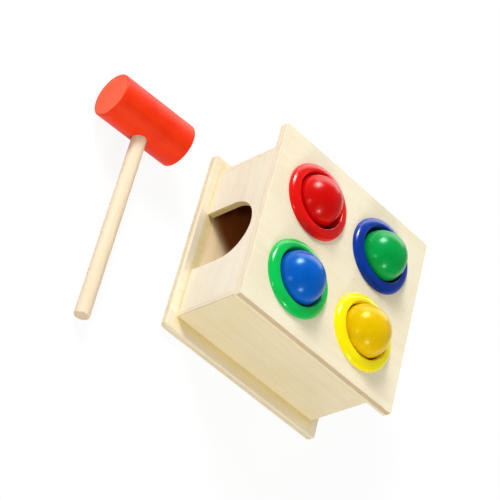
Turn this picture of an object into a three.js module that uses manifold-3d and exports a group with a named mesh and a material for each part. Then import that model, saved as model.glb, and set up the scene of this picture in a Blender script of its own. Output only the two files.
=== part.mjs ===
// A wooden pounding bench: a plywood box with four plastic rings in its top, a ball held in each ring,
// a sloping floor that sends a ball out through the arch in the front wall, and a loose hammer.
// Millimetres, +Z up. The origin is the middle of the base plate's underside, and the arch faces -Y.
import * as THREE from "three";
import { mergeVertices } from "three/addons/utils/BufferGeometryUtils.js";
import Module from "manifold-3d";

const wasm = await Module();
wasm.setup();

// Balls and the rings that hold them
const RED_BALL = 30.4; // diameters, which differ a little as the balls are turned by hand
const BLUE_BALL = 31.5;
const GREEN_BALL = 30.4;
const YELLOW_BALL = 31.5;
const RING_CLEARANCE = 0.45; // between the largest ball and the bore of its ring
const RING_FLANGE_WIDTH = 7; // from the bore to the rim that lies on the top plate
const RING_RISE = 4.0; // of the rounded flange above the top plate
const RING_LIP = 1.6; // from the bore to the crest of the flange
const RING_WALL = 1.7; // of the sleeve that goes down through the top plate
const RING_GAP = 8.6; // between the flanges of two neighbouring rings
const HOLE_CLEARANCE = 0.3; // between a ring's sleeve and its hole in the top plate
const SNAP_BITE = 0.6; // of the bead under the plate, past the edge of the hole
const SNAP_HEIGHT = 2;
const SNAP_CLEARANCE = 0.3; // between the bead and the underside of the top plate
const SLIT_WIDTH = 1.4; // of the cuts that let the sleeve's fingers bend inwards
const SLIT_TOP = 1.2; // where the cuts end, below the face of the top plate

// Box
const WALL_THICKNESS = 4;
const WALL_HEIGHT = 52.6;
const SIDE_ROOM = 2.9; // from the ring beads to the left and right walls
const END_ROOM = 5.9; // from the ring beads to the front and back walls
const TOP_THICKNESS = 5.9;
const TOP_OVERHANG_SIDE = 7.8;
const TOP_OVERHANG_END = 6.3;
const TOP_CORNER_RADIUS = 0.5;
const BASE_THICKNESS = 4.9;
const BASE_OVERHANG_SIDE = 9.3;
const BASE_OVERHANG_END = 6.2;
const BASE_CORNER_RADIUS = 2.4;
const BASE_EDGE_ROUND = 1.2;

// Exit arch in the front wall, and the sloping floor behind it
const ARCH_SIDE_ROOM = 4.45; // beside the largest ball as it rolls out
const ARCH_LINTEL = 11.6; // of the wall above the crown of the arch
const RAMP_ANGLE = THREE.MathUtils.degToRad(10);
const RAMP_THICKNESS = 3;
const RAMP_LIP = 0.8; // the ramp's front edge, thin so that a ball rolls off it
const RAMP_CLEARANCE = 0.3; // to the walls and to the rest under its back edge
const RAMP_REST_DEPTH = 8;

// Hammer
const HEAD_DIAMETER = 27.6;
const HEAD_LENGTH = 53.2;
const HEAD_EDGE_ROUND = 1;
const HANDLE_DIAMETER = 8.8;
const HANDLE_REACH = 130; // from the axis of the head to the free end
const HANDLE_EDGE_ROUND = 0.6;
const SOCKET_FLOOR = 7.6; // of the head behind its blind hole
const SOCKET_CLEARANCE = 0.3;
const HAMMER_GAP = 33.4; // between the base plate and the head lying in front of it
const HAMMER_OFFSET = -36.7; // of the middle of the head to the left of the box's middle
const HAMMER_TURN = THREE.MathUtils.degToRad(3.1);

// How finely round shapes are faceted
const RING_SEGMENTS = 36;
const FLANGE_STEPS = 10;
const BALL_SEGMENTS = 28;
const TOP_CORNER_STEPS = 2;
const BASE_CORNER_STEPS = 6;
const EDGE_STEPS = 3;
const ARCH_STEPS = 32;
const HEAD_SEGMENTS = 40;
const HANDLE_SEGMENTS = 24;

// Each ring, the side of the box that it is on, its ball and that ball's diameter, how far the middle of
// the ball stands above the top plate, and how far the ball leans to the right and back of its ring.
const STATIONS = [
  { ring: "red", ball: "red", side: -1, end: -1, diameter: RED_BALL, seat: -0.2, lean: [-0.45, -0.6] },
  { ring: "green", ball: "blue", side: 1, end: -1, diameter: BLUE_BALL, seat: 0.5, lean: [0, 0] },
  { ring: "blue", ball: "green", side: -1, end: 1, diameter: GREEN_BALL, seat: 1.8, lean: [0.6, 0] },
  { ring: "yellow", ball: "yellow", side: 1, end: 1, diameter: YELLOW_BALL, seat: 1.7, lean: [-0.2, 0] },
];

// Ring radii, all from the largest ball outwards
const largestRadius = Math.max(RED_BALL, BLUE_BALL, GREEN_BALL, YELLOW_BALL) / 2;
const boreRadius = largestRadius + RING_CLEARANCE;
const flangeRadius = boreRadius + RING_FLANGE_WIDTH;
const sleeveRadius = boreRadius + RING_WALL;
const holeRadius = sleeveRadius + HOLE_CLEARANCE;
const beadRadius = holeRadius + SNAP_BITE;
const beadTop = -TOP_THICKNESS - SNAP_CLEARANCE;
const sleeveBottom = beadTop - SNAP_HEIGHT;
const halfPitch = flangeRadius + RING_GAP / 2;

// Half sizes of the box, all from the rings outwards
const innerSide = halfPitch + beadRadius + SIDE_ROOM;
const innerEnd = halfPitch + beadRadius + END_ROOM;
const outerSide = innerSide + WALL_THICKNESS;
const outerEnd = innerEnd + WALL_THICKNESS;
const topSide = outerSide + TOP_OVERHANG_SIDE;
const topEnd = outerEnd + TOP_OVERHANG_END;
const baseSide = outerSide + BASE_OVERHANG_SIDE;
const baseEnd = outerEnd + BASE_OVERHANG_END;

// Heights
const wallFoot = BASE_THICKNESS;
const wallHead = wallFoot + WALL_HEIGHT;
const plateTop = wallHead + TOP_THICKNESS;

// Finishes
const PLY_COLOURS = { top: 0xf5eed6, front: 0xf0e0c2, wall: 0xe6d5ae, base: 0xf0e2bd, ramp: 0xdcbf8e };
const RING_COLOURS = { red: 0xd8150c, green: 0x0aa84a, blue: 0x12307f, yellow: 0xffe80a };
const BALL_COLOURS = { red: 0xc4161c, blue: 0x1450b4, green: 0x12903f, yellow: 0xf0bc08 };
const HEAD_COLOUR = 0xf0391c;
const HANDLE_COLOUR = 0xe9c9a0;
const ROUGHNESS = { timber: 0.6, paint: 0.3, plastic: 0.2 };
const finish = (color, surface) =>
  new THREE.MeshStandardMaterial({ color, roughness: ROUGHNESS[surface], metalness: 0 });
const timber = (color) => finish(color, "timber");
const paint = (color) => finish(color, "paint");
const plastic = (color) => finish(color, "plastic");

/** One named solid of the bench. */
function piece(name, geometry, material) {
  const mesh = new THREE.Mesh(geometry, material);
  mesh.name = name;
  return mesh;
}

/** A closed geometry as a solid that can be cut. */
function toSolid(geometry) {
  const bare = geometry.clone();
  bare.deleteAttribute("normal");
  bare.deleteAttribute("uv");
  const merged = mergeVertices(bare);
  return new wasm.Manifold(
    new wasm.Mesh({
      numProp: 3,
      vertProperties: merged.attributes.position.array,
      triVerts: new Uint32Array(merged.index.array),
    }),
  );
}

/** The body geometry with each tool geometry cut out of it. */
function cut(body, tools) {
  const left = tools.reduce((rest, tool) => rest.subtract(toSolid(tool)), toSolid(body));
  const mesh = left.getMesh();
  const geometry = new THREE.BufferGeometry();
  geometry.setAttribute("position", new THREE.BufferAttribute(new Float32Array(mesh.vertProperties), 3));
  geometry.setIndex(new THREE.BufferAttribute(new Uint32Array(mesh.triVerts), 1));
  geometry.computeVertexNormals();
  return geometry;
}

/** A rectangle with round corners of an even number of steps, about the origin. */
function roundedRectangle(halfWidth, halfDepth, radius, steps) {
  const shape = new THREE.Shape();
  shape.absarc(halfWidth - radius, halfDepth - radius, radius, 0, Math.PI / 2);
  shape.absarc(radius - halfWidth, halfDepth - radius, radius, Math.PI / 2, Math.PI);
  shape.absarc(radius - halfWidth, radius - halfDepth, radius, Math.PI, Math.PI * 1.5);
  shape.absarc(halfWidth - radius, radius - halfDepth, radius, Math.PI * 1.5, Math.PI * 2);
  return new THREE.Shape(shape.getPoints(steps / 2));
}

/** A rod along +Y from 0 to its length, with both ends rounded over. */
function roundedRod(radius, length, round, segments) {
  const profile = [new THREE.Vector2(0, 0)];
  for (let i = 0; i <= EDGE_STEPS; i += 1) {
    const turn = (i / EDGE_STEPS) * (Math.PI / 2);
    profile.push(new THREE.Vector2(radius - round + round * Math.sin(turn), round - round * Math.cos(turn)));
  }
  for (let i = 0; i <= EDGE_STEPS; i += 1) {
    const turn = (i / EDGE_STEPS) * (Math.PI / 2);
    profile.push(
      new THREE.Vector2(radius - round + round * Math.cos(turn), length - round + round * Math.sin(turn)),
    );
  }
  profile.push(new THREE.Vector2(0, length));
  return new THREE.LatheGeometry(profile, segments);
}

/** The base plate, rounded at its corners and along its edges. */
function basePlate() {
  const outline = roundedRectangle(baseSide, baseEnd, BASE_CORNER_RADIUS, BASE_CORNER_STEPS);
  const geometry = new THREE.ExtrudeGeometry(outline, {
    depth: BASE_THICKNESS - 2 * BASE_EDGE_ROUND,
    bevelThickness: BASE_EDGE_ROUND,
    bevelSize: BASE_EDGE_ROUND,
    bevelOffset: -BASE_EDGE_ROUND,
    bevelSegments: EDGE_STEPS,
  });
  geometry.translate(0, 0, BASE_EDGE_ROUND);
  return piece("base_plate", geometry, timber(PLY_COLOURS.base));
}

/** The top plate, with a hole for each ring. */
function topPlate() {
  const outline = roundedRectangle(topSide, topEnd, TOP_CORNER_RADIUS, TOP_CORNER_STEPS);
  for (const { side, end } of STATIONS) {
    const hole = new THREE.Path();
    hole.absarc(side * halfPitch, end * halfPitch, holeRadius, 0, Math.PI * 2);
    outline.holes.push(hole);
  }
  const geometry = new THREE.ExtrudeGeometry(outline, {
    depth: TOP_THICKNESS,
    bevelEnabled: false,
    curveSegments: RING_SEGMENTS / 2,
  });
  const plate = piece("top_plate", geometry, timber(PLY_COLOURS.top));
  plate.position.z = wallHead;
  return plate;
}

/** A left or right wall, which runs the whole depth of the box. */
function sideWall(name, side) {
  const geometry = new THREE.BoxGeometry(WALL_THICKNESS, 2 * outerEnd, WALL_HEIGHT);
  const wall = piece(name, geometry, timber(PLY_COLOURS.wall));
  wall.position.set(side * (outerSide - WALL_THICKNESS / 2), 0, wallFoot + WALL_HEIGHT / 2);
  return wall;
}

/** The back wall, which fits between the side walls. */
function backWall() {
  const geometry = new THREE.BoxGeometry(2 * innerSide, WALL_THICKNESS, WALL_HEIGHT);
  const wall = piece("back_wall", geometry, timber(PLY_COLOURS.wall));
  wall.position.set(0, outerEnd - WALL_THICKNESS / 2, wallFoot + WALL_HEIGHT / 2);
  return wall;
}

/** The front wall, open at its foot in an arch that a ball rolls out of. */
function frontWall() {
  const archRadius = largestRadius + ARCH_SIDE_ROOM;
  const springHeight = WALL_HEIGHT - ARCH_LINTEL - archRadius;
  const outline = new THREE.Shape();
  outline.moveTo(-innerSide, 0);
  outline.lineTo(-archRadius, 0);
  outline.lineTo(-archRadius, springHeight);
  outline.absarc(0, springHeight, archRadius, Math.PI, 0, true);
  outline.lineTo(archRadius, 0);
  outline.lineTo(innerSide, 0);
  outline.lineTo(innerSide, WALL_HEIGHT);
  outline.lineTo(-innerSide, WALL_HEIGHT);
  outline.closePath();
  const geometry = new THREE.ExtrudeGeometry(outline, {
    depth: WALL_THICKNESS,
    bevelEnabled: false,
    curveSegments: ARCH_STEPS / 2,
  });
  geometry.rotateX(Math.PI / 2);
  const wall = piece("front_wall", geometry, timber(PLY_COLOURS.front));
  wall.position.set(0, -innerEnd, wallFoot);
  return wall;
}

/** The sloping floor and the rest that carries its back edge. */
function ramp() {
  const slope = Math.tan(RAMP_ANGLE);
  const uprightThickness = RAMP_THICKNESS / Math.cos(RAMP_ANGLE);
  const front = -innerEnd + RAMP_CLEARANCE;
  const back = innerEnd - RAMP_CLEARANCE;
  const heightAt = (y) => RAMP_LIP + slope * (y - front);
  const footEnd = front + (uprightThickness - RAMP_LIP) / slope;
  const halfWidth = innerSide - RAMP_CLEARANCE;

  // Both are drawn as seen from the right, depth across and height up, and then pulled out in width.
  const pull = (points, name, material) => {
    const outline = new THREE.Shape(points.map(([y, z]) => new THREE.Vector2(y, z)));
    const geometry = new THREE.ExtrudeGeometry(outline, { depth: 2 * halfWidth, bevelEnabled: false });
    geometry.rotateX(Math.PI / 2);
    geometry.rotateZ(Math.PI / 2);
    const board = piece(name, geometry, material);
    board.position.set(-halfWidth, 0, wallFoot);
    return board;
  };
  const restFront = innerEnd - RAMP_REST_DEPTH;
  const restGap = uprightThickness + RAMP_CLEARANCE;
  return [
    pull(
      [
        [front, 0],
        [footEnd, 0],
        [back, heightAt(back) - uprightThickness],
        [back, heightAt(back)],
        [front, RAMP_LIP],
      ],
      "ball_ramp",
      timber(PLY_COLOURS.ramp),
    ),
    pull(
      [
        [restFront, 0],
        [innerEnd, 0],
        [innerEnd, heightAt(innerEnd) - restGap],
        [restFront, heightAt(restFront) - restGap],
      ],
      "ramp_rest",
      timber(PLY_COLOURS.ramp),
    ),
  ];
}

/** A ring: a rounded flange on the plate and a slit sleeve that snaps in under it. */
function ring({ ring: colour, side, end }) {
  const crestRadius = boreRadius + RING_LIP;
  const profile = [new THREE.Vector2(sleeveRadius, 0)];
  for (let i = 0; i <= FLANGE_STEPS; i += 1) {
    const turn = (i / FLANGE_STEPS) * Math.PI;
    const reach = turn < Math.PI / 2 ? flangeRadius - crestRadius : RING_LIP;
    profile.push(new THREE.Vector2(crestRadius + reach * Math.cos(turn), RING_RISE * Math.sin(turn)));
  }
  profile.push(
    new THREE.Vector2(boreRadius, sleeveBottom),
    new THREE.Vector2(sleeveRadius, sleeveBottom),
    new THREE.Vector2(beadRadius, beadTop - SNAP_BITE),
    new THREE.Vector2(beadRadius, beadTop),
    new THREE.Vector2(sleeveRadius, beadTop),
    new THREE.Vector2(sleeveRadius, 0),
  );
  const body = new THREE.LatheGeometry(profile, RING_SEGMENTS);
  body.rotateX(Math.PI / 2);

  const slitDepth = 2 * (-sleeveBottom - SLIT_TOP);
  const slits = [0, 1].map((turn) => {
    const slit = new THREE.BoxGeometry(2 * flangeRadius, SLIT_WIDTH, slitDepth);
    slit.rotateZ((turn * Math.PI) / 2);
    slit.translate(0, 0, sleeveBottom);
    return slit;
  });
  const made = piece(`${colour}_ring`, cut(body, slits), plastic(RING_COLOURS[colour]));
  made.position.set(side * halfPitch, end * halfPitch, plateTop);
  return made;
}

/** A ball in its ring. */
function ball({ ball: colour, side, end, diameter, seat, lean: [across, back] }) {
  const geometry = new THREE.SphereGeometry(diameter / 2, BALL_SEGMENTS, BALL_SEGMENTS / 2);
  geometry.rotateX(Math.PI / 2);
  const made = piece(`${colour}_ball`, geometry, paint(BALL_COLOURS[colour]));
  made.position.set(side * halfPitch + across, end * halfPitch + back, plateTop + seat);
  return made;
}

/** The hammer, lying on its head with the end of its handle on the floor. */
function hammer() {
  const headRadius = HEAD_DIAMETER / 2;
  const handleRadius = HANDLE_DIAMETER / 2;
  const socketDepth = HEAD_DIAMETER - SOCKET_FLOOR;
  const handleStart = headRadius - socketDepth + SOCKET_CLEARANCE;

  const headBody = roundedRod(headRadius, HEAD_LENGTH, HEAD_EDGE_ROUND, HEAD_SEGMENTS);
  headBody.translate(0, -HEAD_LENGTH / 2, 0);
  const socketRadius = handleRadius + SOCKET_CLEARANCE;
  const socket = new THREE.CylinderGeometry(socketRadius, socketRadius, 2 * socketDepth, HANDLE_SEGMENTS);
  socket.rotateZ(-Math.PI / 2);
  socket.translate(headRadius, 0, 0);
  const head = piece("hammer_head", cut(headBody, [socket]), paint(HEAD_COLOUR));

  const rod = roundedRod(handleRadius, HANDLE_REACH - handleStart, HANDLE_EDGE_ROUND, HANDLE_SEGMENTS);
  rod.rotateZ(-Math.PI / 2);
  rod.translate(handleStart, 0, 0);
  const handle = piece("hammer_handle", rod, timber(HANDLE_COLOUR));

  // The tilt at which the lowest edge of the handle's free end meets the floor
  const tipDistance = Math.hypot(HANDLE_REACH, handleRadius);
  const tilt = Math.asin(headRadius / tipDistance) - Math.atan2(handleRadius, HANDLE_REACH);
  const group = new THREE.Group();
  group.add(head, handle);
  group.position.set(HAMMER_OFFSET, -baseEnd - HAMMER_GAP - HEAD_LENGTH / 2, headRadius);
  group.rotation.set(0, tilt, HAMMER_TURN, "ZYX");
  return group;
}

const bench = new THREE.Group();
bench.add(
  basePlate(),
  topPlate(),
  frontWall(),
  backWall(),
  sideWall("left_wall", -1),
  sideWall("right_wall", 1),
  ...ramp(),
  ...STATIONS.map(ring),
  ...STATIONS.map(ball),
  hammer(),
);

export default bench;
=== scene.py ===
"""A wooden pounding bench: a plywood box with snap-in plastic rings, painted balls and a loose mallet.

Everything is in metres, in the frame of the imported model: +Z is up, the exit arch faces -Y, and the origin
is the middle of the base plate's underside.
"""

import logging
import math
from collections.abc import Callable, Iterable, Iterator
from contextlib import contextmanager
from dataclasses import dataclass, field
from enum import Enum
from itertools import accumulate
from typing import ClassVar

import bmesh
import bpy
from mathutils import Color, Euler, Matrix, Vector


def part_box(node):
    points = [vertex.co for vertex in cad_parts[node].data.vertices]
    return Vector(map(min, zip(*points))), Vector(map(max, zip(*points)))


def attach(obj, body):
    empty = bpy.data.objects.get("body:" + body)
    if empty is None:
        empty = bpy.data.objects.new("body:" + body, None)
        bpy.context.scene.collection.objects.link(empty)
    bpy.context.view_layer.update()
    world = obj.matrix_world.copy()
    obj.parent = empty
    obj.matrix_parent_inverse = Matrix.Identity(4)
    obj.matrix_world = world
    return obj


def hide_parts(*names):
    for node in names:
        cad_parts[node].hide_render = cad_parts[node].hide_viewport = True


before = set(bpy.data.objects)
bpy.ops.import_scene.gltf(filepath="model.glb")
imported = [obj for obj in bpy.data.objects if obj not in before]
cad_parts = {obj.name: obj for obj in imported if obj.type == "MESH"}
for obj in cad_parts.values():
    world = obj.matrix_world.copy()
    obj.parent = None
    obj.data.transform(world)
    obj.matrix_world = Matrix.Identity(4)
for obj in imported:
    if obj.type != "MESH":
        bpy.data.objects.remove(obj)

LOG = logging.getLogger("pounding_bench")
MM = 0.001
# Points that are closer than this count as one.
TOUCH = 1e-6
WHITE = "FFFFFF"
RIGHT = Vector((1.0, 0.0, 0.0))
BACK = Vector((0.0, 1.0, 0.0))
UP = Vector((0.0, 0.0, 1.0))

Colour = tuple[float, float, float, float]
Triple = tuple[float, float, float]
Pair = tuple[float, float]
Bands = tuple[tuple[float, str], ...]
Corners = tuple[Vector, Vector]
Piece = bpy.types.Object
Socket = bpy.types.NodeSocket
EdgeTest = Callable[[Vector, Vector], bool]
FaceChoice = Callable[[Vector, Vector], int]


class Axis(Enum):
    """A direction of the model's frame, by its place in a vector."""

    X = 0
    Y = 1
    Z = 2


class Body(Enum):
    """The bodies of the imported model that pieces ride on."""

    BOX = "box"
    RED_BALL = "red_ball"
    BLUE_BALL = "blue_ball"
    GREEN_BALL = "green_ball"
    YELLOW_BALL = "yellow_ball"
    HAMMER = "hammer"


class Hue(Enum):
    """The colours that tell the rings and the balls apart."""

    RED = "red"
    BLUE = "blue"
    GREEN = "green"
    YELLOW = "yellow"


def linear(code: str) -> Colour:
    """Turns a colour of six hex digits into linear light with full opacity."""
    shares = [int(code[start : start + 2], 16) / 255 for start in (0, 2, 4)]
    return (*Color(shares).from_srgb_to_scene_linear(), 1.0)


@dataclass(frozen=True)
class Pattern:
    """A cloudy noise, by how many features fit in a metre across the fibres and along them."""

    across: float
    along: float
    detail: float
    shift: float = 0.0

    def scale(self, grain: Axis) -> Triple:
        """Gives the features to a metre on each axis, for fibres that run along one of them."""
        return tuple(self.along if axis is grain else self.across for axis in Axis)


class NodeSheet:
    """A new material with one principled shader, and short ways to add nodes in Object coordinates."""

    def __init__(self, label: str) -> None:
        """Starts the material.

        Args:
            label: The material's name.
        """
        self.material = bpy.data.materials.new(label)
        self.material.use_nodes = True
        self.tree = self.material.node_tree
        self.shader = self.tree.nodes["Principled BSDF"]
        self.place = self.add("ShaderNodeTexCoord").outputs["Object"]

    def fill(self, socket: Socket, value: object) -> None:
        """Links an output to an input, or sets the input's own value.

        Args:
            socket: The input.
            value: An output or a plain value.
        """
        if isinstance(value, Socket):
            self.tree.links.new(value, socket)
        else:
            socket.default_value = value

    def wire(self, node: bpy.types.Node, **sockets: object) -> bpy.types.Node:
        """Fills inputs of a node.

        Args:
            node: The node.
            **sockets: Plain values or outputs, by input name with spaces as underscores.

        Returns:
            The same node.
        """
        for name, value in sockets.items():
            self.fill(node.inputs[name.replace("_", " ")], value)
        return node

    def add(self, kind: str, **sockets: object) -> bpy.types.Node:
        """Adds a node of some type and fills inputs of it."""
        return self.wire(self.tree.nodes.new(kind), **sockets)

    def shade(self, **sockets: object) -> None:
        """Fills inputs of the shader."""
        self.wire(self.shader, **sockets)

    def axes(self) -> tuple[Socket, ...]:
        """Gives the place on X, Y and Z apart."""
        return tuple(self.add("ShaderNodeSeparateXYZ", Vector=self.place).outputs)

    def turn_with(self, pose: Matrix) -> None:
        """Makes patterns follow a piece that lies turned, as if it still lay along the axes.

        Args:
            pose: Where the piece lies in the frame.
        """
        mapping = self.add("ShaderNodeMapping", Vector=self.place)
        mapping.vector_type = "TEXTURE"
        self.wire(mapping, Location=pose.to_translation(), Rotation=pose.to_euler("XYZ"))
        self.place = mapping.outputs["Vector"]

    def noise(self, pattern: Pattern, grain: Axis = Axis.X) -> Socket:
        """Adds a pattern.

        Args:
            pattern: The pattern.
            grain: The direction of the fibres.

        Returns:
            The pattern's value, about 0.5 on average.
        """
        scale = pattern.scale(grain)
        shift = (pattern.shift, pattern.shift, pattern.shift)
        mapping = self.add("ShaderNodeMapping", Vector=self.place, Scale=scale, Location=shift)
        place = mapping.outputs["Vector"]
        return self.add("ShaderNodeTexNoise", Vector=place, Scale=1.0, Detail=pattern.detail).outputs["Fac"]

    def reckon(self, operation: str, *values: object) -> Socket:
        """Adds a sum of numbers.

        Args:
            operation: The type of sum.
            *values: Plain values or outputs, in order.

        Returns:
            The result.
        """
        node = self.add("ShaderNodeMath")
        node.operation = operation
        for socket, value in zip(node.inputs, values):
            self.fill(socket, value)
        return node.outputs["Value"]

    def blend(self, parts: Iterable[tuple[Socket, float]]) -> Socket:
        """Adds up several patterns by weight.

        Args:
            parts: Each pattern with its weight.

        Returns:
            The weighted sum.
        """
        total: object = 0.0
        for pattern, weight in parts:
            total = self.reckon("MULTIPLY_ADD", pattern, weight, total)
        return total

    def ramp(self, pattern: Socket, stops: Bands, hard: bool = False) -> Socket:
        """Colours a pattern.

        Args:
            pattern: A value from 0 to 1.
            stops: Positions and their colours, in rising order.
            hard: Whether the colours change at once instead of smoothly.

        Returns:
            The colour.
        """
        node = self.add("ShaderNodeValToRGB", Fac=pattern)
        band = node.color_ramp
        band.interpolation = "CONSTANT" if hard else "LINEAR"
        while len(band.elements) < len(stops):
            band.elements.new(1.0)
        for element, (position, code) in zip(band.elements, stops):
            element.position = position
            element.color = linear(code)
        return node.outputs["Color"]

    def darken(self, colour: Socket, by: Socket, amount: object) -> Socket:
        """Multiplies a colour by a pattern.

        Args:
            colour: The colour to change.
            by: The pattern's colour.
            amount: How much of the change is made, a number or a pattern.

        Returns:
            The changed colour.
        """
        node = self.add("ShaderNodeMixRGB", Fac=amount, Color1=colour, Color2=by)
        node.blend_type = "MULTIPLY"
        return node.outputs["Color"]

    def spread(self, pattern: Socket, low: float, high: float) -> Socket:
        """Stretches a pattern to run from one value to another."""
        return self.add("ShaderNodeMapRange", Value=pattern, To_Min=low, To_Max=high).outputs["Result"]

    def between(self, value: Socket, start: float, end: float, soft: bool = True) -> Socket:
        """Gives a value that rises from 0 at the start to 1 at the end.

        Args:
            value: What is followed.
            start: Where the rise starts.
            end: Where it ends.
            soft: Whether it starts and ends gently.

        Returns:
            The risen value.
        """
        node = self.add("ShaderNodeMapRange", Value=value, From_Min=start, From_Max=end)
        node.interpolation_type = "SMOOTHSTEP" if soft else "LINEAR"
        return node.outputs["Result"]

    def emboss(self, pattern: Socket, depth: float) -> None:
        """Gives the surface a fine relief of a full height in metres, from a pattern of 0 to 1."""
        bump = self.add("ShaderNodeBump", Height=pattern, Distance=depth, Strength=1.0)
        self.shade(Normal=bump.outputs["Normal"])


@dataclass(frozen=True)
class Finish:
    """A finish, whose material is made the first time that it is asked for and then kept."""

    label: str
    kept: ClassVar[dict[str, bpy.types.Material]] = {}

    def lay(self, sheet: NodeSheet) -> None:
        """Puts the finish's nodes on a new material."""
        raise NotImplementedError

    def material(self) -> bpy.types.Material:
        """Gives the finish's material.

        Returns:
            The material, the same one for the same label.
        """
        if self.label not in self.kept:
            sheet = NodeSheet(self.label)
            self.lay(sheet)
            self.kept[self.label] = sheet.material
        return self.kept[self.label]


@dataclass(frozen=True)
class Veneer(Finish):
    """A sanded wooden face with faint fibres, flecks and soft patches."""

    pale: str
    dark: str
    grain: Axis
    roughness: float = 0.58
    unevenness: float = 0.1
    figure: Pattern = Pattern(240.0, 9.0, 4.0)
    fibre: Pattern = Pattern(1900.0, 60.0, 3.0, 7.3)
    patch: Pattern = Pattern(26.0, 26.0, 3.0, 3.1)
    fleck: Pattern = Pattern(2600.0, 230.0, 1.0, 11.7)
    tone_shares: Triple = (0.3, 0.3, 0.4)
    tone_range: Pair = (0.39, 0.6)
    fleck_stops: Bands = ((0.68, WHITE), (0.8, "D8BE94"))
    fleck_depth: float = 0.5
    relief: float = 0.1 * MM
    relief_shares: Triple = (0.6, 0.4, 0.0)

    def lay(self, sheet: NodeSheet) -> None:
        """Lays the fibres, flecks and patches.

        Args:
            sheet: The material.
        """
        patterns = (self.figure, self.fibre, self.patch, self.fleck)
        figure, fibre, patch, fleck = (sheet.noise(pattern, self.grain) for pattern in patterns)
        tone = sheet.blend(zip((figure, fibre, patch), self.tone_shares))
        marks = sheet.ramp(fleck, self.fleck_stops)
        sheet.shade(
            Base_Color=sheet.darken(self.tint(sheet, tone), marks, self.fleck_depth),
            Roughness=sheet.spread(tone, self.roughness + self.unevenness, self.roughness - self.unevenness),
            Specular_IOR_Level=0.25,
        )
        sheet.emboss(sheet.blend(zip((fibre, figure, fleck), self.relief_shares)), self.relief)

    def tint(self, sheet: NodeSheet, tone: Socket) -> Socket:
        """Colours the fibres, from their tone."""
        low, high = self.tone_range
        return sheet.ramp(tone, ((low, self.dark), (high, self.pale)))


@dataclass(frozen=True)
class ShadowPaintedVeneer(Veneer):
    """A face that is pale at its front right corner and painted browner towards the far left one: painted
    shadow, whose edge runs diagonally from the foot of the arch's left side across the floor inside the box.
    """

    # deep is the colour of the painted shadow; towards points across its diagonal edge, and start and end
    # bound that soft edge.
    deep: str = "C27A42"
    towards: Pair = (-0.66, 0.751)
    start: float = -29.5 * MM
    end: float = -21.0 * MM

    def tint(self, sheet: NodeSheet, tone: Socket) -> Socket:
        """Colours the fibres, with the painted shadow browning them towards the far corner.

        Args:
            sheet: The material.
            tone: The tone of the fibres.

        Returns:
            The colour.
        """
        run = sheet.blend(zip(sheet.axes(), self.towards))
        depth = sheet.between(run, self.start, self.end)
        # Painted shadow: brown laid where the inside of the box lies in shade.
        painted_shadow = sheet.ramp(depth, ((0.0, WHITE), (1.0, self.deep)))
        return sheet.darken(super().tint(sheet, tone), painted_shadow, 1.0)


@dataclass(frozen=True)
class WallShadeVeneer(Veneer):
    """The face of the base, painted yellower along the feet of the two side walls: painted shade for the
    dim, warm light that the walls throw there.
    """

    # The yellow here is painted shade, laid on the base within reach of the side walls' feet.
    shade_colour: str = "F8F2CC"
    reach: float = 9.3 * MM
    foot: Pair = (53.2 * MM, 56.2 * MM)
    end_reach: float = 2.0 * MM

    def tint(self, sheet: NodeSheet, tone: Socket) -> Socket:
        """Colours the fibres, with painted shade yellowing them towards the side walls.

        Args:
            sheet: The material.
            tone: The tone of the fibres.

        Returns:
            The colour.
        """
        across, along, _ = sheet.axes()
        side, end = self.foot
        near = sheet.between(sheet.reckon("ABSOLUTE", across), side + self.reach, side)
        beside = sheet.between(sheet.reckon("ABSOLUTE", along), end + self.end_reach, end)
        # Painted shade: yellower where the side walls shade the base.
        painted_wall_shade = sheet.ramp(near, ((0.0, WHITE), (1.0, self.shade_colour)))
        return sheet.darken(super().tint(sheet, tone), painted_wall_shade, beside)


@dataclass(frozen=True)
class StickWood(Veneer):
    """A bare round stick, with long fibres and the short dashes of beech."""

    roughness: float = 0.61
    unevenness: float = 0.07
    figure: Pattern = Pattern(320.0, 10.0, 4.0)
    fibre: Pattern = Pattern(2100.0, 70.0, 3.0, 4.4)
    patch: Pattern = Pattern(60.0, 30.0, 2.0, 8.2)
    fleck: Pattern = Pattern(2600.0, 330.0, 1.0, 2.6)
    tone_shares: Triple = (0.5, 0.25, 0.25)
    tone_range: Pair = (0.34, 0.64)
    fleck_stops: Bands = ((0.66, WHITE), (0.78, "D0A676"))
    fleck_depth: float = 0.4
    relief: float = 0.12 * MM
    relief_shares: Triple = (0.7, 0.0, 0.3)
    pose: Matrix = field(default_factory=Matrix)

    def lay(self, sheet: NodeSheet) -> None:
        """Lays the wood along the stick as it lies."""
        sheet.turn_with(self.pose)
        super().lay(sheet)


@dataclass(frozen=True)
class PlyEdge(Finish):
    """The cut edge of a board, with its layers in order from low to high."""

    layers: Bands
    across: Axis
    span: Pair
    grain: Axis
    wander: Pattern = Pattern(60.0, 60.0, 2.0)
    sway: float = 0.03
    pores: Pattern = Pattern(2200.0, 200.0, 3.0, 5.9)
    relief: float = 0.12 * MM

    def lay(self, sheet: NodeSheet) -> None:
        """Lays the layers and the pores.

        Args:
            sheet: The material.
        """
        sway = sheet.spread(sheet.noise(self.wander), -self.sway, self.sway)
        height = sheet.between(sheet.axes()[self.across.value], *self.span, soft=False)
        shares, codes = zip(*self.layers)
        stops = tuple(zip(accumulate(shares, initial=0.0), codes))
        bands = sheet.ramp(sheet.blend(((height, 1.0), (sway, 1.0))), stops, hard=True)
        pores = sheet.noise(self.pores, self.grain)
        speck = sheet.ramp(pores, ((0.3, "DCC8A4"), (0.6, WHITE)))
        sheet.shade(Base_Color=sheet.darken(bands, speck, 0.35), Roughness=0.7, Specular_IOR_Level=0.2)
        sheet.emboss(pores, self.relief)


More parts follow.
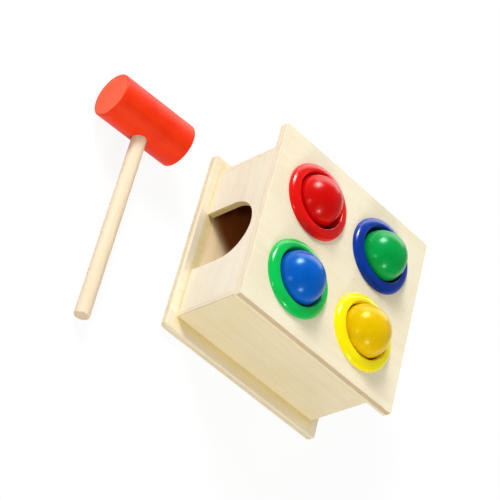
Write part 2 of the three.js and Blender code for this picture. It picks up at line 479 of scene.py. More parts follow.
@dataclass(frozen=True)
class EndGrain(Finish):
    """The sawn end of a stick, with growth rings round a point beside its middle."""

    pale: str
    dark: str
    pose: Matrix
    heart: Pair
    pores: Pattern = Pattern(2300.0, 2300.0, 2.0)
    rings_per_metre: float = 190.0
    relief: float = 0.15 * MM

    def lay(self, sheet: NodeSheet) -> None:
        """Lays the growth rings and the pores.

        Args:
            sheet: The material.
        """
        sheet.turn_with(self.pose)
        _, across, up = sheet.axes()
        flat = sheet.add("ShaderNodeCombineXYZ", X=0.0, Y=across, Z=up)
        centred = sheet.add("ShaderNodeMapping", Vector=flat.outputs["Vector"], Location=(0.0, *self.heart))
        rings = sheet.add("ShaderNodeTexWave", Scale=self.rings_per_metre, Distortion=1.6, Detail=2.0)
        rings.wave_type = "RINGS"
        rings.rings_direction = "X"
        sheet.wire(rings, Vector=centred.outputs["Vector"])
        pores = sheet.noise(self.pores)
        tone = sheet.blend(((rings.outputs["Fac"], 0.5), (pores, 0.5)))
        colour = sheet.ramp(tone, ((0.25, self.dark), (0.75, self.pale)))
        sheet.shade(Base_Color=colour, Roughness=0.72, Specular_IOR_Level=0.25)
        sheet.emboss(pores, self.relief)


@dataclass(frozen=True)
class MouldedPlastic(Finish):
    """Glossy moulded plastic with a faint orange peel and slightly uneven gloss."""

    colour: str
    deep: str
    shine: str
    smoothest: float = 0.11
    roughest: float = 0.23
    cloud: Pattern = Pattern(70.0, 70.0, 2.0)
    peel: Pattern = Pattern(620.0, 620.0, 1.0, 6.1)
    rub: Pattern = Pattern(240.0, 240.0, 5.0, 9.4)
    relief: float = 0.01 * MM

    def lay(self, sheet: NodeSheet) -> None:
        """Lays the colour and the gloss.

        Args:
            sheet: The material.
        """
        sheet.shade(
            Base_Color=sheet.ramp(sheet.noise(self.cloud), ((0.3, self.deep), (0.65, self.colour))),
            Roughness=sheet.spread(sheet.noise(self.rub), self.smoothest, self.roughest),
            Specular_IOR_Level=0.5,
            Specular_Tint=linear(self.shine),
        )
        sheet.emboss(sheet.noise(self.peel), self.relief)


@dataclass(frozen=True)
class Lacquer(Finish):
    """Gloss paint on turned wood, with the fibres showing a little through it."""

    colour: str
    deep: str
    shine: str
    grain: Axis
    pose: Matrix = field(default_factory=Matrix)
    roughness: float = 0.24
    gloss: float = 0.34
    unevenness: float = 0.06
    cloud: Pattern = Pattern(85.0, 85.0, 3.0)
    fibre: Pattern = Pattern(780.0, 45.0, 3.0, 5.2)
    peel: Pattern = Pattern(430.0, 430.0, 1.0, 2.8)
    relief: float = 0.03 * MM

    def lay(self, sheet: NodeSheet) -> None:
        """Lays the paint over the fibres.

        Args:
            sheet: The material.
        """
        sheet.turn_with(self.pose)
        fibre = sheet.noise(self.fibre, self.grain)
        tone = sheet.blend(((sheet.noise(self.cloud), 0.6), (fibre, 0.4)))
        sheet.shade(
            Base_Color=sheet.ramp(tone, ((0.34, self.deep), (0.6, self.colour))),
            Roughness=sheet.spread(tone, self.roughness + self.unevenness, self.roughness - self.unevenness),
            Specular_IOR_Level=self.gloss,
            Specular_Tint=linear(self.shine),
        )
        sheet.emboss(sheet.blend(((fibre, 0.5), (sheet.noise(self.peel), 0.5))), self.relief)


PALE_PLY = ((0.22, "F8EFDA"), (0.05, "E6D2AC"), (0.46, "F4E9D0"), (0.05, "E6D2AC"), (0.22, "F8EFDA"))
DARK_CORE_PLY = ((0.36, "F2E5C6"), (0.56, "D6BE96"), (0.08, "F2E5C6"))
BASE_PLY = ((0.3, "F4E9CC"), (0.4, "EEDFBA"), (0.3, "F4E9CC"))
WALL_PLY = ((0.3, "F3EAD4"), (0.4, "EFE4CA"), (0.3, "F3EAD4"))
# JAMB_PLY is yellower and stronger than WALL_PLY, the same plywood's edge: painted light, raised to lift the
# arch jamb, which lies in shade.
JAMB_PLY = ((0.3, "FFECAC"), (0.5, "FAE29E"), (0.2, "FFF6D4"))
RAMP_PLY = ((0.35, "C8B48C"), (0.3, "BEA67A"), (0.35, "C8B48C"))

PLASTICS = {
    Hue.RED: MouldedPlastic("red_plastic", "E80C05", "DC0803", "FFC8C0"),
    Hue.GREEN: MouldedPlastic("green_plastic", "00C654", "00BA4C", "C8FFD8"),
    Hue.BLUE: MouldedPlastic("blue_plastic", "0038A0", "003092", "C0C8FF"),
    Hue.YELLOW: MouldedPlastic("yellow_plastic", "FFF000", "FDE800", "FFFBB0"),
}
LACQUERS = {
    Hue.RED: Lacquer("red_lacquer", "D60402", "CA0202", "FFC4BA", Axis.X),
    Hue.BLUE: Lacquer("blue_lacquer", "005EC2", "0055B4", "A4E4FF", Axis.Y),
    Hue.GREEN: Lacquer("green_lacquer", "00A246", "00963E", "A4FFD0", Axis.X),
    Hue.YELLOW: Lacquer("yellow_lacquer", "ECC200", "E2B800", "FFF07C", Axis.Z),
}


@dataclass(frozen=True)
class Round:
    """A rounded edge: its size, and how many faces it is made of."""

    width: float
    steps: int


class Shop:
    """The hand tools that every piece is made with."""

    @staticmethod
    def hold(piece: Piece) -> None:
        """Selects one piece alone and makes it the one that is worked on.

        Args:
            piece: The piece.
        """
        bpy.ops.object.select_all(action="DESELECT")
        piece.select_set(True)
        bpy.context.view_layer.objects.active = piece

    @staticmethod
    def take(label: str) -> Piece:
        """Names the primitive that was just added and moves its place into its mesh.

        Args:
            label: The piece's name.

        Returns:
            The piece, at the origin.
        """
        piece = bpy.context.object
        piece.name = label
        piece.data.name = label
        bpy.ops.object.transform_apply(location=True, rotation=True, scale=True)
        return piece

    @classmethod
    def block(cls, label: str, corners: Corners, turn: Triple = (0.0, 0.0, 0.0)) -> Piece:
        """Starts a piece from a block.

        Args:
            label: The piece's name.
            corners: The block's lowest and highest corner, before it is turned about its middle.
            turn: The block's rotation.

        Returns:
            The piece.
        """
        low, high = corners
        bpy.ops.mesh.primitive_cube_add(size=1.0, location=(low + high) / 2, rotation=turn, scale=high - low)
        return cls.take(label)

    @classmethod
    def rod(cls, label: str, radius: float, ends: Corners, sides: int) -> Piece:
        """Starts a piece from a round rod.

        Args:
            label: The piece's name.
            radius: The rod's radius.
            ends: The middles of its two ends.
            sides: How many flats it is made of.

        Returns:
            The piece.
        """
        start, end = ends
        run = end - start
        bpy.ops.mesh.primitive_cylinder_add(
            vertices=sides,
            radius=radius,
            depth=run.length,
            location=(start + end) / 2,
            rotation=run.to_track_quat("Z", "Y").to_euler(),
        )
        return cls.take(label)

    @staticmethod
    def repeat(piece: Piece, label: str, place: Matrix) -> Piece:
        """Copies a piece with a mesh of its own.

        Args:
            piece: The piece to copy.
            label: The copy's name.
            place: Where the copy goes, and how much it is grown.

        Returns:
            The copy.
        """
        made = piece.copy()
        made.data = piece.data.copy()
        made.name = label
        made.data.name = label
        made.data.transform(place)
        bpy.context.scene.collection.objects.link(made)
        return made

    @staticmethod
    @contextmanager
    def edit(piece: Piece, mode: str = "EDGE") -> Iterator[None]:
        """Works on a piece in edit mode with nothing selected.

        Args:
            piece: The piece to work on.
            mode: What is selected: VERT, EDGE or FACE.

        Yields:
            Nothing; edit mode ends with the block.
        """
        Shop.hold(piece)
        bpy.ops.object.mode_set(mode="EDIT")
        bpy.ops.mesh.select_mode(type=mode)
        bpy.ops.mesh.select_all(action="DESELECT")
        yield
        bpy.ops.object.mode_set(mode="OBJECT")

    @staticmethod
    def pick(piece: Piece, wanted: Callable[[Vector], bool]) -> None:
        """Selects the vertices that pass a test.

        Args:
            piece: The piece in edit mode.
            wanted: Takes the place of a vertex.
        """
        bpy.ops.mesh.select_all(action="DESELECT")
        mesh = bmesh.from_edit_mesh(piece.data)
        for vertex in mesh.verts:
            vertex.select_set(wanted(vertex.co))
        mesh.select_flush(True)
        bmesh.update_edit_mesh(piece.data)

    @classmethod
    def round_edges(cls, piece: Piece, size: Round, wanted: EdgeTest) -> None:
        """Rounds over chosen edges of a piece.

        Args:
            piece: The piece.
            size: The round.
            wanted: Takes the two ends of an edge.
        """
        with cls.edit(piece):
            mesh = bmesh.from_edit_mesh(piece.data)
            for edge in mesh.edges:
                edge.select_set(wanted(edge.verts[0].co, edge.verts[1].co))
            bmesh.update_edit_mesh(piece.data)
            bpy.ops.mesh.bevel(offset=size.width, segments=size.steps, affect="EDGES", clamp_overlap=False)

    @classmethod
    def saw(cls, piece: Piece, point: Vector, away: Vector) -> None:
        """Saws a piece flat and takes the waste off.

        Args:
            piece: The piece.
            point: A point of the saw cut.
            away: The side that is waste.
        """
        with cls.edit(piece, "FACE"):
            bpy.ops.mesh.select_all(action="SELECT")
            bpy.ops.mesh.bisect(plane_co=point, plane_no=away, use_fill=True, clear_outer=True)

    @classmethod
    def modify(cls, piece: Piece, kind: str, **settings: object) -> None:
        """Adds a modifier to a piece, sets it and applies it.

        Args:
            piece: The piece.
            kind: The modifier's type.
            **settings: The modifier's own values.
        """
        cls.hold(piece)
        bpy.ops.object.modifier_add(type=kind)
        modifier = piece.modifiers[-1]
        for name, value in settings.items():
            setattr(modifier, name, value)
        bpy.ops.object.modifier_apply(modifier=modifier.name)

    @classmethod
    def cut(cls, piece: Piece, tool: Piece) -> None:
        """Takes the shape of one piece, which is used up, out of another."""
        cls.modify(piece, "BOOLEAN", operation="DIFFERENCE", solver="EXACT", object=tool)
        bpy.data.objects.remove(tool)

    @classmethod
    def polish(cls, piece: Piece, angle: float = 35.0) -> Piece:
        """Shades a piece smooth over its rounds and flat on its faces.

        Args:
            piece: The piece.
            angle: The sharpest turn that is still shaded smooth, in degrees.

        Returns:
            The same piece.
        """
        cls.hold(piece)
        bpy.ops.object.shade_smooth_by_angle(angle=math.radians(angle))
        cls.modify(piece, "WEIGHTED_NORMAL", keep_sharp=True)
        return piece

    @staticmethod
    def paint(piece: Piece, finishes: list[Finish], choose: FaceChoice = lambda middle, normal: 0) -> None:
        """Gives each face of a piece one of several finishes.

        Args:
            piece: The piece.
            finishes: The finishes.
            choose: Takes a face's middle and normal, and gives the place of its finish in the list.
        """
        piece.data.materials.clear()
        for finish in finishes:
            piece.data.materials.append(finish.material())
        for face in piece.data.polygons:
            face.material_index = choose(face.center, face.normal)

    @staticmethod
    def hand_over(piece: Piece, body: Body, node: str, slot: str) -> None:
        """Puts a finished piece in the place of its solid.

        Args:
            piece: The piece.
            body: The body that it moves with.
            node: The solid that it stands for.
            slot: Not used.
        """
        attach(piece, body.value)
        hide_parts(node)
        LOG.info("%s stands for %s with %d faces", piece.name, node, len(piece.data.polygons))


def board_faces(across: Axis, squarely: float = 0.75) -> FaceChoice:
    """Tells a board's faces from its edges.

    Args:
        across: The direction of the board's thickness.
        squarely: How much of its normal lies in that direction, at least, on a face.

    Returns:
        A choice of 0 for a face, 1 for an edge that looks along the first other axis and 2 along the second.
    """
    first, second = [axis.value for axis in Axis if axis is not across]

    def choose(_: Vector, normal: Vector) -> int:
        """Chooses by the normal."""
        edge = 1 if abs(normal[first]) > abs(normal[second]) else 2
        return 0 if abs(normal[across.value]) > squarely else edge

    return choose


def rod_ends(run: Vector, squarely: float) -> FaceChoice:
    """Gives a choice of 1 for the ends of a rod, which look squarely enough along it, and 0 for its side."""
    return lambda middle, normal: int(abs(normal.dot(run)) > squarely)


@dataclass
class Plate:
    """The top or the base plate: a flat board with its grain along Y and a core that runs across it."""

    label: str
    node: str
    slot: str
    veneer: Veneer
    side_layers: Bands
    end_layers: Bands
    corner: Round
    edge: Round
    centres: tuple[Vector, ...] = ()
    hole: float = 18.2 * MM
    hole_sides: int = 96

    def build(self) -> Piece:
        """Makes the board and the holes through it.

        Returns:
            The board.
        """
        low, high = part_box(self.node)
        piece = Shop.block(self.label, (low, high))
        Shop.round_edges(piece, self.corner, lambda a, b: abs(a.z - b.z) > (high.z - low.z) / 2)
        Shop.round_edges(piece, self.edge, lambda a, b: abs(a.z - b.z) < TOUCH)
        for centre in self.centres:
            ends = (Vector((centre.x, centre.y, low.z - MM)), Vector((centre.x, centre.y, high.z + MM)))
            Shop.cut(piece, Shop.rod("hole", self.hole, ends, self.hole_sides))
        return Shop.polish(piece)

    def dress(self, piece: Piece) -> None:
        """Gives the board its veneer and its layered edges.

        Args:
            piece: The board.
        """
        low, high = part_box(self.node)
        span = (low.z, high.z)
        finishes = [
            self.veneer,
            PlyEdge(f"{self.label}_side_edge", self.side_layers, Axis.Z, span, Axis.Y),
            PlyEdge(f"{self.label}_end_edge", self.end_layers, Axis.Z, span, Axis.X),
        ]
        Shop.paint(piece, finishes, board_faces(Axis.Z))
        Shop.hand_over(piece, Body.BOX, self.node, self.slot)


@dataclass
class Wall:
    """A plain wall of the box, sanded outside, with its inside face painted dark brown as painted shade."""

    label: str
    node: str
    across: Axis
    veneer: Veneer
    layers: Bands = WALL_PLY
    # The inside face is painted dark brown: painted shade for the dim inside of the box.
    painted_shade_inside: Veneer = Veneer("inside_face", "6E4A28", "5A3A1C", Axis.Y, 0.75)
    worn: Veneer = Veneer("sanded_corner", "E0CBA2", "D2B88C", Axis.Z)
    ease: Round = Round(0.35 * MM, 2)
    slant: float = 0.25

    def open_edge(self, a: Vector, b: Vector) -> bool:
        """Tells whether an edge of the block lies on the outer face and isn't butted against another wall.

        Args:
            a: One end of the edge.
            b: The other end.

        Returns:
            Whether the edge is eased.
        """
        low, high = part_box(self.node)
        side = self.across.value
        outer = max(abs(low[side]), abs(high[side]))
        on_face = all(abs(abs(point[side]) - outer) < TOUCH for point in (a, b))
        return on_face and (self.across is Axis.X or abs(a.z - b.z) < TOUCH)

    def build(self) -> Piece:
        """Makes the wall with its outer edges eased.

        Returns:
            The wall.
        """
        piece = Shop.block(self.label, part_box(self.node))
        Shop.round_edges(piece, self.ease, self.open_edge)
        return Shop.polish(piece)

    def dress(self, piece: Piece) -> None:
        """Gives the wall its veneer, its inside in painted shade, its layered edges and its sanded corners.

        Args:
            piece: The wall.
        """
        low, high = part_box(self.node)
        side = self.across.value
        span = (low[side], high[side])
        by_edge = board_faces(self.across)

        def choose(middle: Vector, normal: Vector) -> int:
            """Tells the inner face, in painted shade, and the sanded corners from the rest.

            Args:
                middle: The face's middle.
                normal: The face's normal.

            Returns:
                The place of the face's finish in the list.
            """
            part = by_edge(middle, normal)
            # The inner face takes the dark painted shade.
            if part == 0 and normal[side] * (low[side] + high[side]) < 0:
                return 3
            return 4 if min(abs(normal.x), abs(normal.y)) > self.slant else part

        finishes = [
            self.veneer,
            PlyEdge(f"{self.label}_edge", self.layers, self.across, span, Axis.Z),
            PlyEdge(f"{self.label}_rim", self.layers, self.across, span, self.veneer.grain),
            self.painted_shade_inside,
            self.worn,
        ]
        Shop.paint(piece, finishes, choose)
        Shop.hand_over(piece, Body.BOX, self.node, "wall_ply")


@dataclass
class ArchWall(Wall):
    """The front wall, with the arch that the balls roll out of."""

    layers: Bands = JAMB_PLY
    arch_radius: float = 20.2 * MM
    lintel: float = 11.6 * MM
    arch_sides: int = 128
    outline_slack: float = 0.02 * MM

    def build(self) -> Piece:
        """Makes the wall, cuts the arch and eases its rim.

        Returns:
            The wall.
        """
        low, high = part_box(self.node)
        spring = high.z - self.lintel - self.arch_radius
        piece = Shop.block(self.label, (low, high))
        Shop.round_edges(piece, self.ease, self.open_edge)
        ends = (Vector((0.0, low.y - MM, spring)), Vector((0.0, high.y + MM, spring)))
        tool = Shop.rod("arch", self.arch_radius, ends, self.arch_sides)
        Shop.saw(tool, UP * spring, -UP)
        legs = (0.0, 0.0, low.z - MM - spring)
        with Shop.edit(tool, "FACE"):
            Shop.pick(tool, lambda point: abs(point.z - spring) < TOUCH)
            bpy.ops.mesh.extrude_region_move(TRANSFORM_OT_translate={"value": legs})
        Shop.cut(piece, tool)

        def on_arch(point: Vector) -> bool:
            """Tells whether a point lies on the arch's outline."""
            rise = max(point.z - spring, 0.0)
            return abs(math.hypot(point.x, rise) - self.arch_radius) < self.outline_slack

        def on_rim(a: Vector, b: Vector) -> bool:
            """Tells whether an edge runs along the arch on one of the wall's faces."""
            return on_arch(a) and on_arch(b) and abs(a.y - b.y) < TOUCH

        Shop.round_edges(piece, self.ease, on_rim)
        return Shop.polish(piece)


@dataclass
class Ramp:
    """The sloping floor and the batten under its back edge."""

    slope: float = math.radians(10.0)
    thickness: float = 3.0 * MM
    lip: float = 0.8 * MM
    raw_half: float = 0.6
    ease: Round = Round(0.15 * MM, 2)
    # The floor's face carries painted shadow, browner towards the back left where the inside of the box is
    # shaded.
    veneer: Veneer = ShadowPaintedVeneer("ramp_face", "FFE6BA", "F3CF9A", Axis.X, 0.66)

    @property
    def normal(self) -> Vector:
        """The direction that the sloping face looks in."""
        return Vector((0.0, -math.sin(self.slope), math.cos(self.slope)))

    def floor_piece(self) -> Piece:
        """Makes the sloping floor from a tilted board that is sawn off level and upright.

        Returns:
            The floor.
        """
        low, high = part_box("ball_ramp")
        run = high.y - low.y
        front = Vector((0.0, low.y, low.z + self.lip))
        middle = front + Vector((0.0, run / 2, math.tan(self.slope) * run / 2))
        centre = middle - self.normal * self.thickness / 2
        half = Vector((high.x, run * self.raw_half, self.thickness / 2))
        piece = Shop.block("sloping_floor", (centre - half, centre + half), (self.slope, 0.0, 0.0))
        for point, away in ((low, -UP), (low, -BACK), (high, BACK)):
            Shop.saw(piece, point, away)
        Shop.round_edges(piece, self.ease, lambda a, b: max(a.z, b.z) > low.z + MM / 2)
        return Shop.polish(piece)

    def batten(self) -> Piece:
        """Makes the batten from a block that is sawn to the slope.

        Returns:
            The batten.
        """
        low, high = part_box("ramp_rest")
        piece = Shop.block("floor_batten", (low, high))
        Shop.saw(piece, high, self.normal)
        Shop.round_edges(piece, self.ease, lambda a, b: min(a.z, b.z) > low.z + MM)
        return Shop.polish(piece)

    def dress(self, piece: Piece, node: str) -> None:
        """Gives a board its veneer and its edges.

        Args:
            piece: The board.
            node: The solid that it stands for.
        """
        low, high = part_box(node)
        edge = PlyEdge(f"{piece.name}_edge", RAMP_PLY, Axis.Z, (low.z, high.z), Axis.X)
        Shop.paint(piece, [self.veneer, edge, edge], board_faces(Axis.Z))
        Shop.hand_over(piece, Body.BOX, node, "ramp_ply")


@dataclass
class SnapRing:
    """A ring with a rounded flange and a slit sleeve that snaps in under the top plate."""

    bore: float = 16.2 * MM
    flange: float = 23.2 * MM
    rise: float = 4.0 * MM
    lip: float = 1.6 * MM
    sleeve: float = 17.9 * MM
    sleeve_depth: float = 8.2 * MM
    bead: float = 18.8 * MM
    bead_top: float = 6.2 * MM
    bead_bite: float = 0.6 * MM
    slit: float = 1.4 * MM
    slit_top: float = 1.2 * MM
    dome_points: int = 48
    turns: int = 120
    smooth_angle: float = 30.0

    def profile(self) -> Piece:
        """Draws the ring's section at the origin: a lopsided dome with the sleeve traced under it.

        Returns:
            The section.
        """
        crest = RIGHT * (self.bore + self.lip)
        upright = (math.pi / 2, 0.0, 0.0)
        bpy.ops.mesh.primitive_circle_add(
            vertices=self.dome_points, radius=self.lip, location=crest, rotation=upright
        )
        piece = Shop.take("snap_ring")
        widen = (self.flange - crest.x) / self.lip
        here = RIGHT * self.bore
        rim = RIGHT * self.flange
        trace = (
            (self.bore, -self.sleeve_depth),
            (self.sleeve, -self.sleeve_depth),
            (self.bead, -self.bead_top - self.bead_bite),
            (self.bead, -self.bead_top),
            (self.sleeve, -self.bead_top),
            (self.sleeve, 0.0),
        )
        with Shop.edit(piece, "VERT"):
            bpy.ops.mesh.select_all(action="SELECT")
            bpy.ops.transform.resize(value=(1.0, 1.0, self.rise / self.lip), center_override=crest)
            Shop.pick(piece, lambda point: point.x > crest.x)
            bpy.ops.transform.resize(value=(widen, 1.0, 1.0), center_override=crest)
            Shop.pick(piece, lambda point: point.z < -TOUCH)
            bpy.ops.mesh.delete(type="VERT")
            Shop.pick(piece, lambda point: (point - here).length < TOUCH)
            for radius, height in trace:
                corner = Vector((radius, 0.0, height))
                bpy.ops.mesh.extrude_vertices_move(TRANSFORM_OT_translate={"value": corner - here})
                here = corner
            Shop.pick(piece, lambda point: min((point - rim).length, (point - here).length) < TOUCH)
            bpy.ops.mesh.edge_face_add()
        return piece

    def build(self) -> Piece:
        """Makes one ring at the origin, spun from its section and slit four times.

        Returns:
            The ring.
        """
        piece = self.profile()
        with Shop.edit(piece, "VERT"):
            bpy.ops.mesh.select_all(action="SELECT")
            bpy.ops.mesh.spin(steps=self.turns, angle=2 * math.pi, center=(0.0, 0.0, 0.0), axis=UP)
            bpy.ops.mesh.select_all(action="SELECT")
            bpy.ops.mesh.remove_doubles(threshold=TOUCH)
            bpy.ops.mesh.normals_make_consistent(inside=False)
        low = Vector((-self.flange, -self.slit / 2, -self.sleeve_depth - MM))
        high = Vector((self.flange, self.slit / 2, -self.slit_top))
        for turn in (0.0, math.pi / 2):
            Shop.cut(piece, Shop.block("slit", (low, high), (0.0, 0.0, turn)))
        return Shop.polish(piece, self.smooth_angle)


@dataclass
class WoodenBall:
    """A turned ball, a little uneven under its paint."""

    radius: float = 15.0 * MM
    cuts: int = 39
    unevenness: float = 0.05 * MM
    ripple: float = 14.0 * MM
    smooth_angle: float = 60.0

    def build(self) -> Piece:
        """Makes one ball at the origin from a block that is divided and drawn out to a sphere.

        Returns:
            The ball.
        """
        corner = Vector((self.radius, self.radius, self.radius))
        piece = Shop.block("wooden_ball", (-corner, corner))
        with Shop.edit(piece, "VERT"):
            bpy.ops.mesh.select_all(action="SELECT")
            bpy.ops.mesh.subdivide(number_cuts=self.cuts)
            bpy.ops.transform.tosphere(value=1.0)
        reach = max(vertex.co.length for vertex in piece.data.vertices)
        piece.data.transform(Matrix.Scale((self.radius - self.unevenness) / reach, 4))
        texture = bpy.data.textures.new("ball_ripple", "CLOUDS")
        texture.noise_scale = self.ripple
        swing = {"strength": 2 * self.unevenness, "mid_level": 0.5}
        Shop.modify(piece, "DISPLACE", texture=texture, texture_coords="LOCAL", **swing)
        return Shop.polish(piece, self.smooth_angle)


@dataclass(frozen=True)
class Station:
    """One ring in the top plate with its ball."""

    ring_hue: Hue
    ball_hue: Hue

    @property
    def centre(self) -> Vector:
        """The middle of the ring, on the face of the top plate."""
        low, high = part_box(f"{self.ring_hue.value}_ring")
        return Vector((*((low + high) / 2).xy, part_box("top_plate")[1].z))

    def fit(self, ring: Piece, ball: Piece) -> None:
        """Puts copies of the ring and the ball in place and finishes them.

        Args:
            ring: The ring that is copied.
            ball: The ball that is copied.
        """
        hue = self.ring_hue.value
        made = Shop.repeat(ring, f"{hue}_snap_ring", Matrix.Translation(self.centre))
        Shop.paint(made, [PLASTICS[self.ring_hue]])
        Shop.hand_over(made, Body.BOX, f"{hue}_ring", f"{hue}_plastic")
        hue = self.ball_hue.value
        low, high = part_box(f"{hue}_ball")
        grown = Matrix.Scale((high.z - low.z) / 2 / WoodenBall.radius, 4)
        made = Shop.repeat(ball, f"{hue}_turned_ball", Matrix.Translation((low + high) / 2) @ grown)
        Shop.paint(made, [LACQUERS[self.ball_hue]])
        Shop.hand_over(made, Body(f"{hue}_ball"), f"{hue}_ball", f"{hue}_paint")


STATIONS = (
    Station(Hue.RED, Hue.RED),
    Station(Hue.GREEN, Hue.BLUE),
    Station(Hue.BLUE, Hue.GREEN),
    Station(Hue.YELLOW, Hue.YELLOW),
)


@dataclass
class Mallet:
    """The hammer, lying on its head with the end of its handle on the floor."""

    middle: Vector = field(default_factory=lambda: Vector((-36.7, -122.4, 13.8)) * MM)
    turn: float = math.radians(3.1)
    head_radius: float = 13.8 * MM
    head_length: float = 53.2 * MM
    head_round: Round = Round(1.0 * MM, 5)
    head_sides: int = 160
    head_end: float = 0.9
    handle_radius: float = 4.4 * MM
    handle_reach: float = 130.0 * MM
    handle_round: Round = Round(0.6 * MM, 4)
    handle_sides: int = 80
    handle_end: float = 0.8
    handle_heart: Pair = (6.0 * MM, -9.0 * MM)
    socket_floor: float = 7.6 * MM
    clearance: float = 0.3 * MM
    smooth_angle: float = 30.0

    @property
    def tilt(self) -> float:
        """How far the handle dips until its end touches the floor."""
        tip = math.hypot(self.handle_reach, self.handle_radius)
        return math.asin(self.head_radius / tip) - math.atan2(self.handle_radius, self.handle_reach)

    @property
    def pose(self) -> Matrix:
        """How the hammer lies, with its head and the end of its handle on the floor."""
        turned = Euler((0.0, self.tilt, self.turn), "XYZ").to_matrix().to_4x4()
        return Matrix.Translation(self.middle) @ turned

    def lay_down(self, piece: Piece) -> Piece:
        """Moves a piece from the origin to where the hammer lies, and shades it."""
        piece.data.transform(self.pose)
        return Shop.polish(piece, self.smooth_angle)

    def head(self) -> Piece:
        """Makes the head: a rod with rounded rims and a blind hole for the handle.

        Returns:
            The head, where it lies.
        """
        half = BACK * (self.head_length / 2)
        piece = Shop.rod("mallet_head", self.head_radius, (-half, half), self.head_sides)
        Shop.round_edges(piece, self.head_round, lambda a, b: abs(a.y - b.y) < TOUCH)
        ends = (RIGHT * (self.socket_floor - self.head_radius), RIGHT * (self.head_radius + MM))
        Shop.cut(piece, Shop.rod("socket", self.handle_radius + self.clearance, ends, self.handle_sides))
        return self.lay_down(piece)

    def handle(self) -> Piece:
        """Makes the handle: a round stick with its ends eased.

        Returns:
            The handle, where it lies.
        """
        start = self.socket_floor - self.head_radius + self.clearance
        ends = (RIGHT * start, RIGHT * self.handle_reach)
        piece = Shop.rod("mallet_handle", self.handle_radius, ends, self.handle_sides)
        Shop.round_edges(piece, self.handle_round, lambda a, b: abs(a.x - b.x) < TOUCH)
        return self.lay_down(piece)

    def dress(self, head: Piece, handle: Piece) -> None:
        """Paints the head and finishes the bare handle.

        Args:
            head: The head.
            handle: The handle.
        """
        lacquer = Lacquer("mallet_lacquer", "F8360A", "EE2A05", "FFBA9A", Axis.Y, self.pose, 0.45, 0.42)
        # The ends are painted paler than the flank: painted sheen for the light that their flat faces
        # reflect.
        sheen_painted_end = Lacquer("mallet_end_lacquer", "FA5E36", "F2542E", "FFBA9A", Axis.Y, self.pose, 0.5, 0.42)
        stick = StickWood("handle_side", "F6E6CA", "ECD3AC", Axis.X, pose=self.pose)
        end = EndGrain("handle_end", "EAD3B8", "D9BC96", self.pose, self.handle_heart)
        turned = self.pose.to_3x3()
        Shop.paint(head, [lacquer, sheen_painted_end], rod_ends(turned @ BACK, self.head_end))
        Shop.paint(handle, [stick, end], rod_ends(turned @ RIGHT, self.handle_end))
        Shop.hand_over(head, Body.HAMMER, "hammer_head", "mallet_paint")
        Shop.hand_over(handle, Body.HAMMER, "hammer_handle", "mallet_wood")


@dataclass
class Box:
    """The plywood box: plates, walls and the sloping floor."""

    top_rounds: tuple[Round, Round] = (Round(0.5 * MM, 3), Round(0.25 * MM, 2))
    base_rounds: tuple[Round, Round] = (Round(2.4 * MM, 8), Round(1.2 * MM, 5))

    def build(self, centres: tuple[Vector, ...]) -> None:
        """Builds and finishes each board.

        Args:
            centres: The middles of the rings in the top plate.
        """
        top = Veneer("top_face", "F5ECD1", "EFE2C1", Axis.Y)
        # The base's face carries painted shade, yellower beside the side walls.
        base = WallShadeVeneer("base_face", "F8EFD8", "F0E1C2", Axis.Y)
        front = Veneer("front_face", "F4EDD9", "ECE2C9", Axis.X)
        back = Veneer("back_face", "F0E2BE", "E8D6AC", Axis.X)
        side = Veneer("side_face", "F0E2BE", "E8D6AC", Axis.Y)
        top_ply = (DARK_CORE_PLY, PALE_PLY)
        base_ply = (BASE_PLY, BASE_PLY)
        for board in (
            Plate("top_board", "top_plate", "top_ply", top, *top_ply, *self.top_rounds, centres),
            Plate("base_board", "base_plate", "base_ply", base, *base_ply, *self.base_rounds),
            ArchWall("arch_wall", "front_wall", Axis.Y, front),
            Wall("back_board", "back_wall", Axis.Y, back),
            Wall("left_board", "left_wall", Axis.X, side),
            Wall("right_board", "right_wall", Axis.X, side),
        ):
            board.dress(board.build())
        ramp = Ramp()
        ramp.dress(ramp.floor_piece(), "ball_ramp")
        ramp.dress(ramp.batten(), "ramp_rest")


@dataclass(frozen=True)
class Lamp:
    """A soft box that looks at the toy."""

    label: str
    azimuth: float
    elevation: float
    brightness: float
    width: float
    height: float
    distance: float = 2.0
    mirrored: bool = True
    shines: bool = True

    def hang(self, target: Vector) -> None:
        """Hangs the lamp.

        Args:
            target: What it looks at.
        """
        around = math.radians(self.azimuth)
        above = math.radians(self.elevation)
        level = math.cos(above)
        away = Vector((level * math.sin(around), -level * math.cos(around), math.sin(above)))
        data = bpy.data.lights.new(self.label, "AREA")
        data.shape = "RECTANGLE"
        data.size = self.width
        data.size_y = self.height
        data.energy = self.brightness * math.pi**2 * self.distance**2
        lamp = bpy.data.objects.new(self.label, data)
        lamp.location = target + away * self.distance
        lamp.rotation_euler = away.to_track_quat("Z", "Y").to_euler()
        lamp.visible_glossy = self.mirrored
        lamp.visible_diffuse = self.shines
        bpy.context.scene.collection.objects.link(lamp)


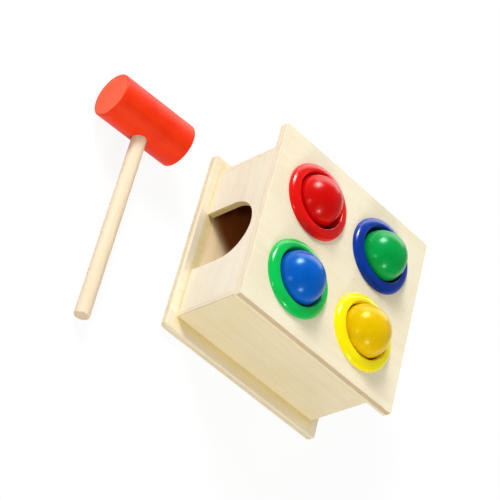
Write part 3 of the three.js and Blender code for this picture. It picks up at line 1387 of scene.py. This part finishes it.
@dataclass
class Studio:
    """A white table under soft light, and the camera at the photograph's angle."""

    eye: Triple = (0.666905, -0.590301, 0.759240)
    right: Triple = (-0.218378, 0.672476, 0.707168)
    down: Triple = (0.779097, 0.556512, -0.288621)
    lens: float = 144.0
    target: Triple = (0.0, -0.03, 0.04)
    ambient: float = 0.27
    floor_size: float = 30.0
    floor_drop: float = 0.2 * MM
    floor_colour: Colour = (0.6, 0.6, 0.6, 1.0)
    floor_glow: float = 1.1
    floor_glow_share: float = 0.82
    lamps: tuple[Lamp, ...] = (
        Lamp("key", -48.7, 31.0, 0.57, 0.5, 0.42),
        Lamp("key_glow", -48.0, 31.0, 0.38, 1.1, 0.8),
        Lamp("key_gleam", -48.5, 31.0, 0.34, 0.8, 0.6, shines=False),
        Lamp("side", 98.9, 21.4, 0.3, 0.36, 0.36),
        Lamp("low", 37.8, 11.0, 0.1, 0.22, 0.22),
        Lamp("right_fill", 96.0, 34.0, 0.21, 1.0, 1.0, mirrored=False),
        Lamp("left", -97.0, 14.0, 0.54, 2.5, 1.0, shines=False),
        Lamp("back_fill", -152.0, 30.0, 0.22, 1.2, 1.2, mirrored=False),
    )

    def camera(self) -> None:
        """Stands the camera where the photograph was taken from."""
        right = Vector(self.right)
        down = Vector(self.down)
        turn = Matrix((right, -down, -right.cross(down))).transposed()
        data = bpy.data.cameras.new("camera")
        data.lens = self.lens
        camera = bpy.data.objects.new("camera", data)
        camera.matrix_world = Matrix.Translation(self.eye) @ turn.to_4x4()
        bpy.context.scene.collection.objects.link(camera)
        bpy.context.scene.camera = camera

    def surroundings(self) -> None:
        """Fills the room with a plain soft light."""
        world = bpy.data.worlds.new("surroundings")
        world.use_nodes = True
        background = world.node_tree.nodes["Background"]
        background.inputs["Color"].default_value = linear(WHITE)
        background.inputs["Strength"].default_value = self.ambient
        bpy.context.scene.world = world

    def table_white(self) -> bpy.types.Material:
        """Makes the table's white, which glows where it is seen and keeps a faint shadow of the toy.

        Returns:
            The material.
        """
        sheet = NodeSheet("table_white")
        path = sheet.add("ShaderNodeLightPath").outputs
        seen = path["Is Camera Ray"]
        for name in ("Is Glossy Ray", "Is Transmission Ray"):
            seen = sheet.reckon("MAXIMUM", seen, path[name])
        matt = sheet.add("ShaderNodeBsdfDiffuse", Color=self.floor_colour)
        glow = sheet.add("ShaderNodeEmission", Strength=self.floor_glow)
        mix = sheet.add("ShaderNodeMixShader", Fac=sheet.spread(seen, 0.0, self.floor_glow_share))
        sheet.fill(mix.inputs[1], matt.outputs["BSDF"])
        sheet.fill(mix.inputs[2], glow.outputs["Emission"])
        sheet.wire(sheet.tree.nodes["Material Output"], Surface=mix.outputs["Shader"])
        return sheet.material

    def floor(self) -> None:
        """Lays the table top."""
        bpy.ops.mesh.primitive_plane_add(size=self.floor_size, location=(0.0, 0.0, -self.floor_drop))
        plane = bpy.context.object
        plane.name = "table_top"
        plane.data.materials.append(self.table_white())

    def build(self) -> None:
        """Sets up the camera, the light and the table."""
        bpy.context.scene.view_settings.view_transform = "Standard"
        self.camera()
        self.surroundings()
        self.floor()
        for lamp in self.lamps:
            lamp.hang(Vector(self.target))


def main() -> None:
    """Builds the studio, the box, the rings with their balls and the mallet."""
    logging.basicConfig(level=logging.INFO, format="%(name)s: %(message)s")
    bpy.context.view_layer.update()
    Studio().build()
    Box().build(tuple(station.centre for station in STATIONS))
    ring = SnapRing().build()
    ball = WoodenBall().build()
    for station in STATIONS:
        station.fit(ring, ball)
    bpy.data.objects.remove(ring)
    bpy.data.objects.remove(ball)
    mallet = Mallet()
    mallet.dress(mallet.head(), mallet.handle())


if __name__ == "__main__":
    main()
